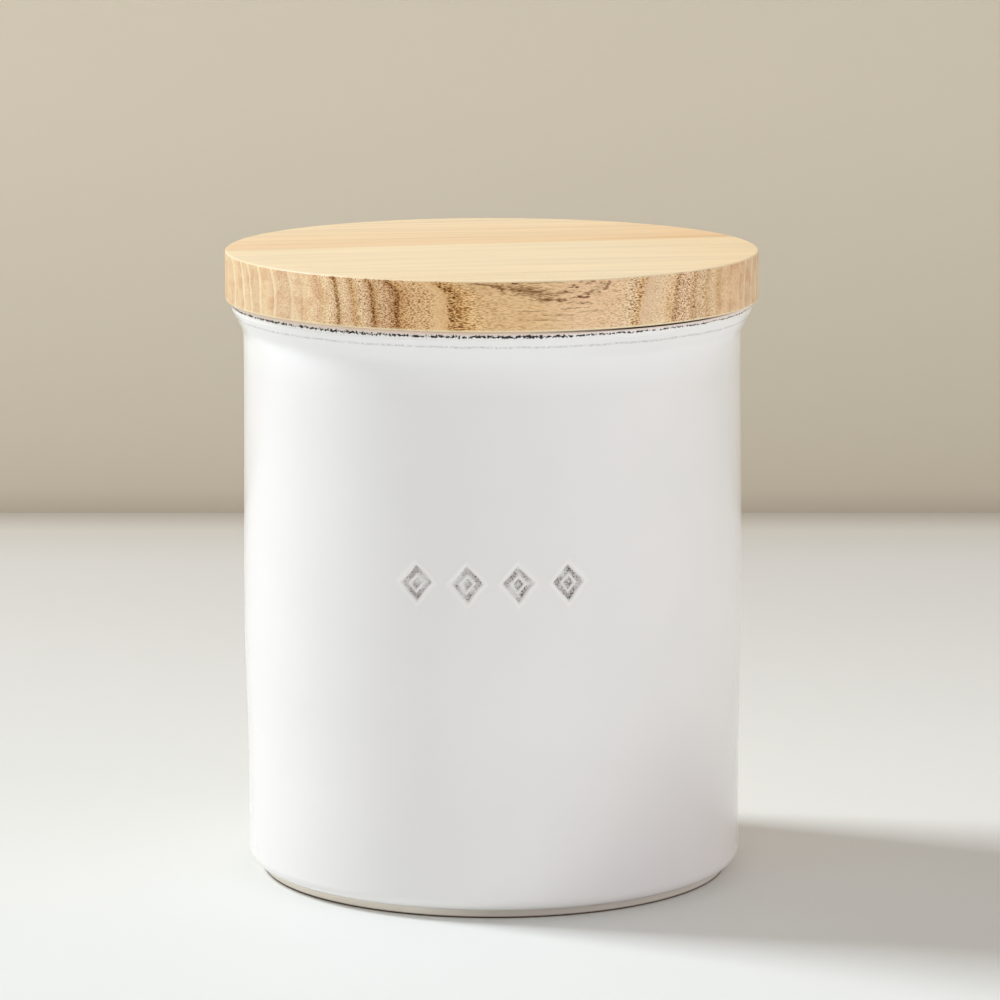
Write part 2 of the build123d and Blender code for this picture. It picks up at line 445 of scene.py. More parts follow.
def glazed_stoneware():
    """White glaze over grey-brown stoneware. It is glossy and a little uneven, breaks dark where it runs
    thin on the lip's edge, pools grey with iron specks in the marks, and is wiped off the foot. Heights,
    radii and the sizes of patterns are in mm."""
    material, tree, shader = new_material("glazed_stoneware")
    place = add(tree, "TexCoord")["Object"]
    point = add(tree, "Mapping", {"Vector": place, "Scale": (1 / mm,) * 3})["Vector"]
    axes = add(tree, "SeparateXYZ", {"Vector": point})
    flat = add(tree, "CombineXYZ", {"X": axes["X"], "Y": axes["Y"]})["Vector"]
    radius = add(tree, "VectorMath", {0: flat}, operation="LENGTH")["Value"]
    outside = add(tree, "Math", {0: radius, 1: 50.0}, operation="GREATER_THAN")["Value"]

    # the glaze itself, a little warmer and cooler in patches about 30 mm across
    patches = add(tree, "TexNoise", {"Vector": point, "Scale": 1 / 30, "Detail": 2})["Fac"]
    glaze = add(tree, "ValToRGB", {"Fac": patches},
                stops=[(0.35, linear("#f2f0ee")), (0.65, linear("#f5f2f0"))])["Color"]

    # painted shade: the glaze is greyer down towards the foot, more so on the right
    side = lip_radius / mm
    round_lip = add(tree, "MapRange", {"Value": axes["X"], 1: -side, 2: side})["Result"]
    low = add(tree, "MapRange", {
        "Value": axes["Z"], 1: 46.0, 2: 4.0,
    }, interpolation_type="SMOOTHSTEP")["Result"]
    shaded_side = add(tree, "MapRange", {"Value": round_lip, 1: 0.58, 2: 0.84, 3: 0.12, 4: 1})["Result"]
    low = add(tree, "Math", {0: low, 1: shaded_side}, operation="MULTIPLY")["Value"]
    # the grey of the painted shade
    grey = linear("#edeaec")
    glaze = add(tree, "Mix", {0: low, 6: glaze, 7: grey}, data_type="RGBA", blend_type="MULTIPLY")[2]

    # painted light: the glaze is whiter just under the lip, where the lip's overhang shades it
    under_lip_light = add(tree, "MapRange", {"Value": axes["Z"], 1: 104.0, 2: 111.0})["Result"]
    glaze = add(tree, "Mix", {0: under_lip_light, 6: glaze, 7: linear("#faf9f8")}, data_type="RGBA")[2]

    # painted shade: the rim above the break, in the lid's shade, is tinted pale mauve
    thin = add(tree, "MapRange", {"Value": axes["Z"], 1: 116.4, 2: 116.9, 3: 0, 4: 0.8})["Result"]
    outer = add(tree, "MapRange", {"Value": radius, 1: 50.6, 2: 51.8, 3: 0.3, 4: 1})["Result"]
    thin = add(tree, "Math", {0: thin, 1: outer}, operation="MULTIPLY")["Value"]
    glaze = add(tree, "Mix", {0: thin, 6: glaze, 7: linear("#f6ebed")}, data_type="RGBA")[2]

    # the break: dark blots a third of a millimetre to one millimetre long, along the lip's widest edge
    drift = add(tree, "TexNoise", {"Vector": point, "Scale": 1 / 4, "Detail": 1})["Fac"]
    drifted = add(tree, "Math", {
        0: drift, 1: break_drift, 2: axes["Z"],
    }, operation="MULTIPLY_ADD")["Value"]
    off_break = add(tree, "Math", {
        0: drifted, 1: break_height + break_drift / 2,
    }, operation="SUBTRACT")["Value"]
    off_break = add(tree, "Math", {0: off_break}, operation="ABSOLUTE")["Value"]
    blots = add(tree, "TexNoise", {
        "Vector": point, "Scale": 1 / 0.55, "Detail": 2, "Roughness": 0.7,
    })["Fac"]
    spread = add(tree, "MapRange", {"Value": blots, 1: 0.40, 2: 0.60, 3: 0.04, 4: 0.42})["Result"]
    strong = add(tree, "ValToRGB", {"Fac": round_lip}, stops=greys(
        (0.05, 0.7), (0.14, 0.85), (0.22, 1.0), (0.60, 1.0), (0.72, 0.62), (0.95, 0.5),
    ))["Color"]
    spread = add(tree, "Math", {0: spread, 1: strong}, operation="MULTIPLY")["Value"]
    break_line = add(tree, "Math", {0: spread, 1: off_break}, operation="SUBTRACT")["Value"]
    break_line = add(tree, "MapRange", {"Value": break_line, 1: 0.0, 2: 0.10})["Result"]
    break_line = add(tree, "Math", {0: break_line, 1: outside}, operation="MULTIPLY")["Value"]
    glaze = add(tree, "Mix", {0: break_line, 6: glaze, 7: linear("#120c0a")}, data_type="RGBA")[2]

    # painted shadow: on the right, a thin dark line right under the lid, where the gap between lid and
    # lip is in shade
    gap_shadow = add(tree, "MapRange", {"Value": axes["Z"], 1: 117.02, 2: 117.10})["Result"]
    gap_shadow_side = add(tree, "ValToRGB", {"Fac": round_lip}, stops=greys(
        (0.56, 0.0), (0.66, 0.6), (0.76, 1.0), (0.90, 1.0), (0.97, 0.3),
    ))["Color"]
    to_front = add(tree, "MapRange", {"Value": axes["Y"], 1: -30.0, 2: -5.0, 3: 1, 4: 0})["Result"]
    outermost = add(tree, "MapRange", {"Value": radius, 1: 52.0, 2: 52.2})["Result"]
    for limit in (gap_shadow_side, to_front, outermost):
        gap_shadow = add(tree, "Math", {0: gap_shadow, 1: limit}, operation="MULTIPLY")["Value"]
    glaze = add(tree, "Mix", {0: gap_shadow, 6: glaze, 7: linear("#2f2119")}, data_type="RGBA")[2]

    # a second, faint break under the lip
    off_faint = add(tree, "Math", {
        0: drifted, 1: faint_height + break_drift / 2,
    }, operation="SUBTRACT")["Value"]
    off_faint = add(tree, "Math", {0: off_faint}, operation="ABSOLUTE")["Value"]
    faint = add(tree, "MapRange", {"Value": off_faint, 1: 0.08, 2: 0.32, 3: 0.42, 4: 0})["Result"]
    gaps = add(tree, "MapRange", {"Value": blots, 1: 0.36, 2: 0.60})["Result"]
    for limit in (gaps, outside):
        faint = add(tree, "Math", {0: faint, 1: limit}, operation="MULTIPLY")["Value"]
    glaze = add(tree, "Mix", {0: faint, 6: glaze, 7: linear("#8f8783")}, data_type="RGBA")[2]

    # the marks: patchy grey-mauve where the glaze pools, with near-black iron specks a quarter of a
    # millimetre across, most of them at one end of the row, and a painted highlight on the bead round
    # each edge
    stamp_and_highlight = add(tree, "Attribute", attribute_name="pressed_and_highlight")["Fac"]
    # painted highlight: the bead is painted paler where it catches the light
    bead = add(tree, "MapRange", {"Value": stamp_and_highlight, 1: -0.05, 2: -0.35, 3: 0, 4: 0.6})["Result"]
    glaze = add(tree, "Mix", {0: bead, 6: glaze, 7: linear("#fdf9f4")}, data_type="RGBA")[2]
    pooled = add(tree, "MapRange", {"Value": stamp_and_highlight, 1: 0.15, 2: 0.9, 3: 0, 4: 0.72})["Result"]
    cover = add(tree, "TexNoise", {"Vector": point, "Scale": 1 / 2.4, "Detail": 3})["Fac"]
    cover = add(tree, "MapRange", {"Value": cover, 1: 0.40, 2: 0.62, 3: 0.22, 4: 1})["Result"]
    pooled = add(tree, "Math", {0: pooled, 1: cover}, operation="MULTIPLY")["Value"]
    glaze = add(tree, "Mix", {0: pooled, 6: glaze, 7: linear("#a89b97")}, data_type="RGBA")[2]
    specks = add(tree, "TexNoise", {
        "Vector": point, "Scale": 1 / 0.3, "Detail": 1, "Roughness": 0.7,
    })["Fac"]
    crowded = add(tree, "MapRange", {"Value": axes["X"], 1: -14, 2: 14, 3: 0.60, 4: 0.52})["Result"]
    specks = add(tree, "Math", {0: specks, 1: crowded}, operation="SUBTRACT")["Value"]
    specks = add(tree, "MapRange", {"Value": specks, 1: 0.0, 2: 0.06})["Result"]
    sunk = add(tree, "MapRange", {"Value": stamp_and_highlight, 1: 0.2, 2: 0.7})["Result"]
    for limit in (sunk, cover):
        specks = add(tree, "Math", {0: specks, 1: limit}, operation="MULTIPLY")["Value"]
    glaze = add(tree, "Mix", {0: specks, 6: glaze, 7: linear("#4a3c39")}, data_type="RGBA")[2]

    # the foot: a thin wash of glaze over its side, with painted light on the left and painted shade to
    # the right, wiped off the bottom down to toasted brown clay, which is painted darker also for the
    # shade where the foot meets the worktop
    ring = add(tree, "Math", {0: radius, 1: 42.2}, operation="GREATER_THAN")["Value"]
    wash = add(tree, "MapRange", {"Value": axes["Z"], 1: 1.9, 2: 1.5})["Result"]
    wash = add(tree, "Math", {0: wash, 1: ring}, operation="MULTIPLY")["Value"]
    # painted light and shade: the wash is paler on the lit left and darker towards the right
    wash_lit_and_shaded = add(tree, "ValToRGB", {"Fac": round_lip}, stops=[
        (0.20, linear("#f4ebdc")), (0.36, linear("#f6eee0")), (0.50, linear("#cfc6bc")),
        (0.65, linear("#c9c0b7")), (0.90, linear("#d0c7be")),
    ])["Color"]
    glaze = add(tree, "Mix", {0: wash, 6: glaze, 7: wash_lit_and_shaded}, data_type="RGBA")[2]
    wiped = add(tree, "MapRange", {"Value": axes["Z"], 1: 0.50, 2: 0.24})["Result"]
    bare = add(tree, "Math", {0: wiped, 1: ring}, operation="MULTIPLY")["Value"]
    grit = add(tree, "TexNoise", {"Vector": point, "Scale": 1 / 0.5, "Detail": 3})["Fac"]
    # partly painted shade: the bare clay is darkened for the shade where the foot stands
    clay_and_contact_shade = add(tree, "ValToRGB", {"Fac": grit},
               stops=[(0.3, linear("#3c2715")), (0.7, linear("#5c4229"))])["Color"]
    colour = add(tree, "Mix", {0: bare, 6: glaze, 7: clay_and_contact_shade}, data_type="RGBA")[2]

    gloss = add(tree, "MapRange", {"Value": bare, 3: 0.14, 4: 0.8})["Result"]
    ripple = add(tree, "TexNoise", {"Vector": point, "Scale": 1 / 7, "Detail": 2})["Fac"]
    relief = add(tree, "Bump", {"Height": ripple, "Distance": 0.05 * mm, "Strength": 0.4})["Normal"]
    tree.links.new(colour, shader.inputs["Base Color"])
    tree.links.new(gloss, shader.inputs["Roughness"])
    tree.links.new(relief, shader.inputs["Normal"])
    shader.inputs["IOR"].default_value = 1.5
    return material


jar.data.materials.append(glazed_stoneware())
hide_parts("jar")
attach(jar, "jar")

# --- Lid ----------------------------------------------------------------------------------------
# A flat disc turned from one quarter-sawn ash board, sanded, with its edges just broken and a thin
# satin finish. It carries the plug and overhangs the lip.
disc_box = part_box("lid_disc")
disc_radius = disc_box[1][0]
disc_bottom = disc_box[0][2]
disc_top = disc_box[1][2]
disc_top_round = 0.4 * mm
disc_bottom_round = 0.35 * mm
face_step = 3 * coarse_step
round_turned = [(0, 2 * pi, 256)]

# the year rings: where each begins, in mm from the tree's centre, and how dark its row of pores is at
# the near end of the board and at the far one. A row reaches row_reach to either side
ring_reach = 60
row_reach = 0.32
rings = (
    (10.6, 0, 0), (16, 0, 0), (19.1, 0, 0), (23, 0, 0), (27.6, 0, 0),
    (32.1, 0.05, 0), (34.9, 0.1, 0), (38.7, 0.25, 0.05), (41.5, 0.9, 0.1), (44.1, 0.4, 0.3),
    (46.7, 0.85, 0.4), (49.4, 1, 0.65), (54.2, 0.7, 0.1),
)
# the dense wood between the rows on the way out, at the near end and at the far one
near_tints = (
    (9, "#e9cfab"), (18, "#e9ceaa"), (20.6, "#e2c6a2"), (25, "#efd3ad"), (30, "#e9ceae"),
    (36, "#f9e0be"), (43, "#f8dcb7"), (45.6, "#f5d7b1"), (48, "#e8c298"), (51, "#edc493"),
    (53.2, "#fdd9a4"), (54.7, "#facd8e"), (55.3, "#f5cf9b"), (56.2, "#f0ca97"),
)
far_tints = (
    (25, "#eacca2"), (30, "#e7c69e"), (36, "#efcca2"), (40.4, "#f0cda2"), (41.3, "#e7c69a"),
    (42.4, "#f2d3a6"), (45.6, "#e9c9a0"), (48.5, "#f3cfa7"), (50.4, "#f7d8ad"), (52, "#f4d7af"),
    (53.4, "#f3d3ac"), (54.1, "#f5cc95"), (54.8, "#f7dbb5"), (56, "#f6d1a6"),
)
# how thickly the brown pores crowd on the way out, at each end, and how deep the stipple is
near_crowd = (
    (38, 0), (41, 0.25), (44.5, 0.2), (46.4, 0.7), (47.2, 0.4), (48, 0.6), (48.6, 1),
    (49.6, 1), (50.6, 0.6), (51.7, 0.5), (52.4, 0.6), (52.9, 0.1), (53.7, 0), (54, 0.8),
    (55.1, 0.6), (56.1, 0.25), (56.6, 0.1),
)
far_crowd = (
    (40, 0.1), (44, 0.4), (46.6, 0.5), (47.2, 0.8), (49.3, 0.8), (49.8, 0.35), (51.4, 0.1),
    (53.5, 0.15), (54, 1), (54.6, 1), (55.1, 0.3), (56.4, 0.12),
)
stipple_depth = (
    (18, 0.3), (27, 0.3), (30, 0.7), (35, 0.6), (38, 0.9), (41, 1), (42.6, 0.85), (44.5, 1),
    (50.5, 1.15), (51.3, 0.95), (52.6, 0.9), (53, 0.3), (53.7, 0.3), (54.3, 1.1), (55.4, 0.9),
    (56, 0.5), (57, 0.42),
)
# how much the stipple takes from red, green and blue
stipple_tint = (0.29, 0.42, 0.6)
# the darkest dashes: place along and up, half length, half height, slope in degrees and darkness
dashes = (
    (-12.2, 126.9, 2.6, 0.22, 6, 0.65), (-9.3, 126.45, 1.5, 0.28, 8, 0.7),
    (-6.1, 126.1, 0.9, 0.5, 20, 0.5), (-4.6, 125.8, 2.4, 0.18, 8, 0.65),
    (-1.6, 125.45, 2.1, 0.22, 4, 0.8), (-2.6, 124.95, 2, 0.18, 6, 0.7),
    (-3.4, 125.55, 3.8, 0.95, 8, 0.58), (2.6, 125.12, 3.4, 0.2, 1, 0.5),
    (1.4, 123.8, 3, 0.3, 3, 0.9), (0.4, 127.15, 4, 0.18, 0, 0.35),
    (7.4, 124.1, 1.7, 0.2, 4, 0.7), (8, 123, 1.4, 0.18, 3, 0.5),
    (9.3, 125.2, 1.4, 0.35, -25, 0.6), (12.7, 126.2, 1.2, 0.32, -50, 0.7),
    (11, 125.9, 1.8, 0.9, -30, 0.2), (-3, 121.6, 3.2, 0.14, 0, 0.4),
    (3, 120.8, 3.6, 0.14, 1, 0.4), (5, 122, 2.6, 0.14, -2, 0.4),
    (-1, 119.9, 3, 0.14, 1, 0.35), (9, 121.3, 2.4, 0.14, -3, 0.35),
)

disc = spun("ash_lid", spaced(rounded([
    (0, disc_bottom, 0),
    (disc_radius, disc_bottom, disc_bottom_round),
    (disc_radius, disc_top, disc_top_round),
    (0, disc_top, 0),
], turn=15), face_step), round_turned)


def ash(name, grain_turn, pith, soaked):
    """Ash is ring-porous: each ring starts with a row of open pores and ends in dense, duller wood.
    The fibres and pores run along the grain, so they are dots on end grain, dashes along the edge
    and faint streaks on the face. Pith is the tree's centre, across the board and up, and soaked is
    the tint of the finish where it soaks in. Places and the sizes of patterns are in mm."""
    material, tree, shader = new_material(name)
    place = add(tree, "TexCoord")
    point = add(tree, "Mapping", {
        "Vector": place["Object"], "Rotation": (0, 0, -grain_turn), "Scale": (1 / mm,) * 3,
    })["Vector"]
    axes = add(tree, "SeparateXYZ", {"Vector": point})

    # the turned edge shows the rings, the sanded face hardly does
    facing = add(tree, "SeparateXYZ", {"Vector": place["Normal"]})["Z"]
    facing = add(tree, "Math", {0: facing}, operation="ABSOLUTE")["Value"]
    edge = add(tree, "MapRange", {"Value": facing, 1: 0.85, 2: 0.25, 3: 0.08, 4: 1})["Result"]

    # the rings sway by half a millimetre along the board, are ragged, and curl in towards the top
    sway, rag, curl_height = 1.4, 0.7, 124.4
    slow = add(tree, "Mapping", {"Vector": point, "Scale": (1 / 40, 1 / 9, 1 / 9)})["Vector"]
    slow = add(tree, "TexNoise", {"Vector": slow, "Scale": 1, "Detail": 1})["Fac"]
    quick = add(tree, "Mapping", {"Vector": point, "Scale": (1 / 8, 1 / 0.9, 1 / 0.9)})["Vector"]
    quick = add(tree, "TexNoise", {"Vector": quick, "Scale": 1, "Detail": 2})["Fac"]
    spoke = add(tree, "VectorMath", {0: point, 1: (0, pith[0], pith[1])}, operation="SUBTRACT")["Vector"]
    spoke = add(tree, "VectorMath", {0: spoke, 1: (0, 1, 1)}, operation="MULTIPLY")["Vector"]
    radius = add(tree, "VectorMath", {0: spoke}, operation="LENGTH")["Value"]
    curl = add(tree, "Math", {0: axes["Z"], 1: curl_height}, operation="SUBTRACT")["Value"]
    curl = add(tree, "Math", {0: curl, 1: 0}, operation="MAXIMUM")["Value"]
    curl = add(tree, "Math", {0: curl, 1: curl}, operation="MULTIPLY")["Value"]
    hook = add(tree, "MapRange", {"Value": radius, 1: 44, 2: 50, 3: 0.02, 4: 0.12})["Result"]
    straight = add(tree, "MapRange", {"Value": axes["X"], 1: 0, 2: 20, 3: 1, 4: 0.35})["Result"]
    hook = add(tree, "Math", {0: hook, 1: straight}, operation="MULTIPLY")["Value"]
    radius = add(tree, "Math", {0: curl, 1: hook, 2: radius}, operation="MULTIPLY_ADD")["Value"]
    radius = add(tree, "Math", {0: slow, 1: sway, 2: radius}, operation="MULTIPLY_ADD")["Value"]
    radius = add(tree, "Math", {0: quick, 1: rag, 2: radius}, operation="MULTIPLY_ADD")["Value"]
    radius = add(tree, "Math", {0: radius, 1: (sway + rag) / 2}, operation="SUBTRACT")["Value"]

    # at the far end of the board the outer rings stand more upright
    far = add(tree, "MapRange", {"Value": axes["X"], 1: -2, 2: 6})["Result"]
    upright = add(tree, "MapRange", {"Value": axes["Z"], 1: 118.9, 2: 126.9, 3: 0.8, 4: 0.2})["Result"]
    outer = add(tree, "MapRange", {"Value": radius, 1: 51.0, 2: 53.5})["Result"]
    upright = add(tree, "Math", {0: upright, 1: outer}, operation="MULTIPLY")["Value"]
    far_end = add(tree, "MapRange", {"Value": axes["X"], 1: 10, 2: 16})["Result"]
    radius = add(tree, "Math", {0: upright, 1: far_end, 2: radius}, operation="MULTIPLY_ADD")["Value"]
    share = add(tree, "Math", {0: radius, 1: ring_reach}, operation="DIVIDE")["Value"]

    # each year's ring: where it begins, how wide it is and how dark its row of pores is
    starts = [start for start, dark, far_dark in rings]
    widths = [end - start for start, end in zip(starts, starts[1:] + [ring_reach])]
    looked_up = add(tree, "ValToRGB", {"Fac": share}, hold=True, stops=[
        (0, (0, starts[0] / ring_reach, 0, 0)), *[
            ((start - row_reach) / ring_reach, (start / ring_reach, width / ring_reach, dark, far_dark))
            for (start, dark, far_dark), width in zip(rings, widths)
        ],
    ])
    ring = add(tree, "SeparateColor", {"Color": looked_up["Color"]})
    since = add(tree, "Math", {0: share, 1: ring["Red"]}, operation="SUBTRACT")["Value"]
    season = add(tree, "Math", {0: since, 1: ring["Green"]}, operation="DIVIDE", use_clamp=True)["Value"]
    since = add(tree, "Math", {0: since, 1: ring_reach}, operation="MULTIPLY")["Value"]

    # the rows are paler at the far end of the board
    row_dark = add(tree, "Mix", {0: far, 2: ring["Blue"], 3: looked_up["Alpha"]})[0]

    # the last rings dip under the edge in a long U, steep on one side, and show as broken dashes
    dip_middle, dip_height, dip_rag, dash_pitch = 6.6, 122.6, 1.3, 1.05
    steep_rise, gentle_rise = -0.077, -0.0118
    aside = add(tree, "Math", {0: axes["X"], 1: dip_middle}, operation="SUBTRACT")["Value"]
    dip = axes["Z"]
    for one_side, rise in (("MAXIMUM", steep_rise), ("MINIMUM", gentle_rise)):
        away = add(tree, "Math", {0: aside, 1: 0}, operation=one_side)["Value"]
        away = add(tree, "Math", {0: away, 1: away}, operation="MULTIPLY")["Value"]
        dip = add(tree, "Math", {0: away, 1: rise, 2: dip}, operation="MULTIPLY_ADD")["Value"]
    dip = add(tree, "Math", {0: quick, 1: dip_rag, 2: dip}, operation="MULTIPLY_ADD")["Value"]
    dip = add(tree, "Math", {0: dip, 1: dip_height + dip_rag / 2}, operation="SUBTRACT")["Value"]
    dipped = add(tree, "MapRange", {"Value": dip, 1: -0.1, 2: 0.1})["Result"]
    near_bark = add(tree, "Math", {0: axes["Y"], 1: -45}, operation="LESS_THAN")["Value"]
    dipped = add(tree, "Math", {0: dipped, 1: near_bark}, operation="MULTIPLY")["Value"]
    fold = dip
    for step, amount in (("DIVIDE", dash_pitch), ("FRACT", 0), ("SUBTRACT", 0.5), ("MULTIPLY", 1.5)):
        fold = add(tree, "Math", {0: fold, 1: amount}, operation=step)["Value"]
    broken = add(tree, "Mapping", {"Vector": point, "Scale": (1 / 3.5, 1 / 0.8, 1 / 0.8)})["Vector"]
    broken = add(tree, "TexNoise", {"Vector": broken, "Scale": 1, "Detail": 1})["Fac"]
    broken = add(tree, "MapRange", {"Value": broken, 1: 0.44, 2: 0.62, 4: 0.6})["Result"]
    since = add(tree, "Mix", {0: dipped, 2: since, 3: fold})[0]
    season = add(tree, "Mix", {0: dipped, 2: season, 3: 0.45})[0]
    row_dark = add(tree, "Mix", {0: dipped, 2: row_dark, 3: broken})[0]

    # dense wood on the turned edge, from the pith outwards, and the paler sanded face
    turned, far_turned = [
        add(tree, "ValToRGB", {"Fac": share}, stops=[
            (r / ring_reach, linear(tint)) for r, tint in tints
        ])["Color"]
        for tints in (near_tints, far_tints)
    ]
    turned = add(tree, "Mix", {0: far, 6: turned, 7: far_turned}, data_type="RGBA")[2]
    sanded = linear("#ffe8c0")
    wood = add(tree, "Mix", {0: edge, 6: sanded, 7: turned}, data_type="RGBA")[2]

    # each ring is golden early in its year and mauve late in it, but less so near the pith, near the
    # bark and at the far end
    tinge = add(tree, "ValToRGB", {"Fac": season}, stops=[
        (0.0, linear("#f7e6c8")), (0.16, linear("#fcf1df")), (0.36, linear("#ffffff")),
        (0.66, linear("#fbf5f2")), (0.86, linear("#ead9d2")), (1.0, linear("#dcc3b8")),
    ])["Color"]
    contrast = add(tree, "MapRange", {"Value": radius, 1: 22, 2: 46, 3: 0.25, 4: 1.0})["Result"]
    even = add(tree, "MapRange", {"Value": far, 3: 1.0, 4: 0.5})["Result"]
    outermost = add(tree, "MapRange", {"Value": radius, 1: 51.5, 2: 53, 3: 1.0, 4: 0.45})["Result"]
    for limit in (even, outermost, edge):
        contrast = add(tree, "Math", {0: contrast, 1: limit}, operation="MULTIPLY")["Value"]
    wood = add(tree, "Mix", {0: contrast, 6: wood, 7: tinge}, data_type="RGBA", blend_type="MULTIPLY")[2]

    # fibres and fine pores, drawn 0.2 mm wide so that they show. They crowd in some of the old rings,
    # and in others at the far end
    along = add(tree, "Mapping", {"Vector": point, "Scale": (1 / 1.2, 1 / 0.22, 1 / 0.17)})["Vector"]
    fibre = add(tree, "TexNoise", {"Vector": along, "Scale": 1, "Detail": 1, "Roughness": 0.6})["Fac"]
    crowd, end_crowd, coarse = [
        add(tree, "ValToRGB", {"Fac": share}, stops=greys(*levels, reach=ring_reach))["Color"]
        for levels in (near_crowd, far_crowd, stipple_depth)
    ]
    crowd = add(tree, "Mix", {0: far, 2: crowd, 3: end_crowd})[0]
    sparse = add(tree, "MapRange", {"Value": crowd, 2: 0.6, 3: 0.5, 4: 1.0})["Result"]
    sparse = add(tree, "Mix", {0: far, 2: 1.0, 3: sparse})[0]
    for limit in (sparse, edge):
        coarse = add(tree, "Math", {0: coarse, 1: limit}, operation="MULTIPLY")["Value"]
    stipple = add(tree, "MapRange", {"Value": fibre, 1: 0.44, 2: 0.64, 3: 0.5, 4: -1.1})["Result"]
    stipple = add(tree, "Math", {0: stipple, 1: coarse}, operation="MULTIPLY")["Value"]
    shade = add(tree, "VectorMath", {0: stipple_tint, "Scale": stipple}, operation="SCALE")["Vector"]
    shade = add(tree, "VectorMath", {0: shade, 1: (1, 1, 1)}, operation="ADD")["Vector"]
    wood = add(tree, "VectorMath", {0: wood, 1: shade}, operation="MULTIPLY")["Vector"]

    # where they crowd, the deepest are brown
    hollow = add(tree, "MapRange", {"Value": fibre, 1: 0.50, 2: 0.66})["Result"]
    for limit in (crowd, edge):
        hollow = add(tree, "Math", {0: hollow, 1: limit}, operation="MULTIPLY")["Value"]
    wood = add(tree, "Mix", {0: hollow, 6: wood, 7: linear("#7c4714")}, data_type="RGBA")[2]

    # long faint streaks, one to three millimetres wide, plainest on the face
    long = add(tree, "Mapping", {"Vector": point, "Scale": (1 / 60, 1 / 2.6, 1 / 1.2)})["Vector"]
    streak = add(tree, "TexNoise", {"Vector": long, "Scale": 1, "Detail": 2, "Roughness": 0.6})["Fac"]
    streak = add(tree, "Math", {0: streak, 1: 0.5}, operation="SUBTRACT")["Value"]
    amount = add(tree, "MapRange", {"Value": edge, 1: 0.08, 2: 1, 3: 0.38, 4: 0.14})["Result"]
    streak = add(tree, "Math", {0: streak, 1: amount, 2: 1.0}, operation="MULTIPLY_ADD")["Value"]
    wood = add(tree, "VectorMath", {0: wood, "Scale": streak}, operation="SCALE")["Vector"]

    # the dense middle of the young rings is mottled mauve
    mottle = add(tree, "Mapping", {"Vector": point, "Scale": (1 / 9, 1 / 3, 1 / 3)})["Vector"]
    mottle = add(tree, "TexNoise", {"Vector": mottle, "Scale": 1, "Detail": 3})["Fac"]
    mottle = add(tree, "MapRange", {"Value": mottle, 1: 0.46, 2: 0.62, 3: 0, 4: 0.8})["Result"]
    mottled = add(tree, "MapRange", {"Value": radius, 1: 38, 2: 44, 3: 1, 4: 0.3})["Result"]
    for limit in (mottled, edge):
        mottle = add(tree, "Math", {0: mottle, 1: limit}, operation="MULTIPLY")["Value"]
    mauve = linear("#f1dfd6")
    wood = add(tree, "Mix", {0: mottle, 6: wood, 7: mauve}, data_type="RGBA", blend_type="MULTIPLY")[2]

    # young rings start with a pale line
    pale = add(tree, "MapRange", {"Value": since, 1: 0.1, 2: 0.8, 3: 0.62, 4: 0})["Result"]
    young = add(tree, "MapRange", {"Value": radius, 1: 30, 2: 37, 3: 1, 4: 0.25})["Result"]
    old = add(tree, "MapRange", {"Value": radius, 1: 39, 2: 40.5, 3: 1, 4: 0})["Result"]
    for limit in (young, old, edge):
        pale = add(tree, "Math", {0: pale, 1: limit}, operation="MULTIPLY")["Value"]
    wood = add(tree, "Mix", {0: pale, 6: wood, 7: linear("#fdecd0")}, data_type="RGBA")[2]

    # a brown stain bleeds from the darkest rows, less after the row than in it
    bleed = add(tree, "MapRange", {"Value": since, 1: 0.1, 2: 1.1, 3: 0.36, 4: 0})["Result"]
    for limit in (row_dark, even, edge):
        bleed = add(tree, "Math", {0: bleed, 1: limit}, operation="MULTIPLY")["Value"]
    wood = add(tree, "Mix", {0: bleed, 6: wood, 7: linear("#a5743f")}, data_type="RGBA")[2]

    # the row itself: open pores a fifth of a millimetre wide, nearly touching in the darkest rows. The
    # outermost row is twice as broad as the others
    ragged = add(tree, "Math", {0: fibre, 1: 0.5}, operation="SUBTRACT")["Value"]
    off_row = add(tree, "Math", {0: ragged, 1: 0.9, 2: since}, operation="MULTIPLY_ADD")["Value"]
    off_row = add(tree, "Math", {0: off_row}, operation="ABSOLUTE")["Value"]
    wide = add(tree, "MapRange", {"Value": radius, 1: 53.3, 2: 53.9, 3: 1.0, 4: 0.45})["Result"]
    off_row = add(tree, "Math", {0: off_row, 1: wide}, operation="MULTIPLY")["Value"]
    row = add(tree, "MapRange", {"Value": off_row, 1: 0.20, 2: row_reach, 3: 1, 4: 0})["Result"]
    tubes = add(tree, "Mapping", {"Vector": point, "Scale": (1 / 1.3, 1 / 0.25, 1 / 0.21)})["Vector"]
    tube = add(tree, "TexNoise", {"Vector": tubes, "Scale": 1, "Detail": 1})["Fac"]
    tube = add(tree, "Math", {0: row_dark, 1: 0.18, 2: tube}, operation="MULTIPLY_ADD")["Value"]
    tube = add(tree, "MapRange", {"Value": tube, 1: 0.645, 2: 0.70})["Result"]
    present = add(tree, "MapRange", {"Value": row_dark, 2: 0.4, 4: 0.95})["Result"]
    pore = row
    for limit in (tube, present):
        pore = add(tree, "Math", {0: pore, 1: limit}, operation="MULTIPLY")["Value"]

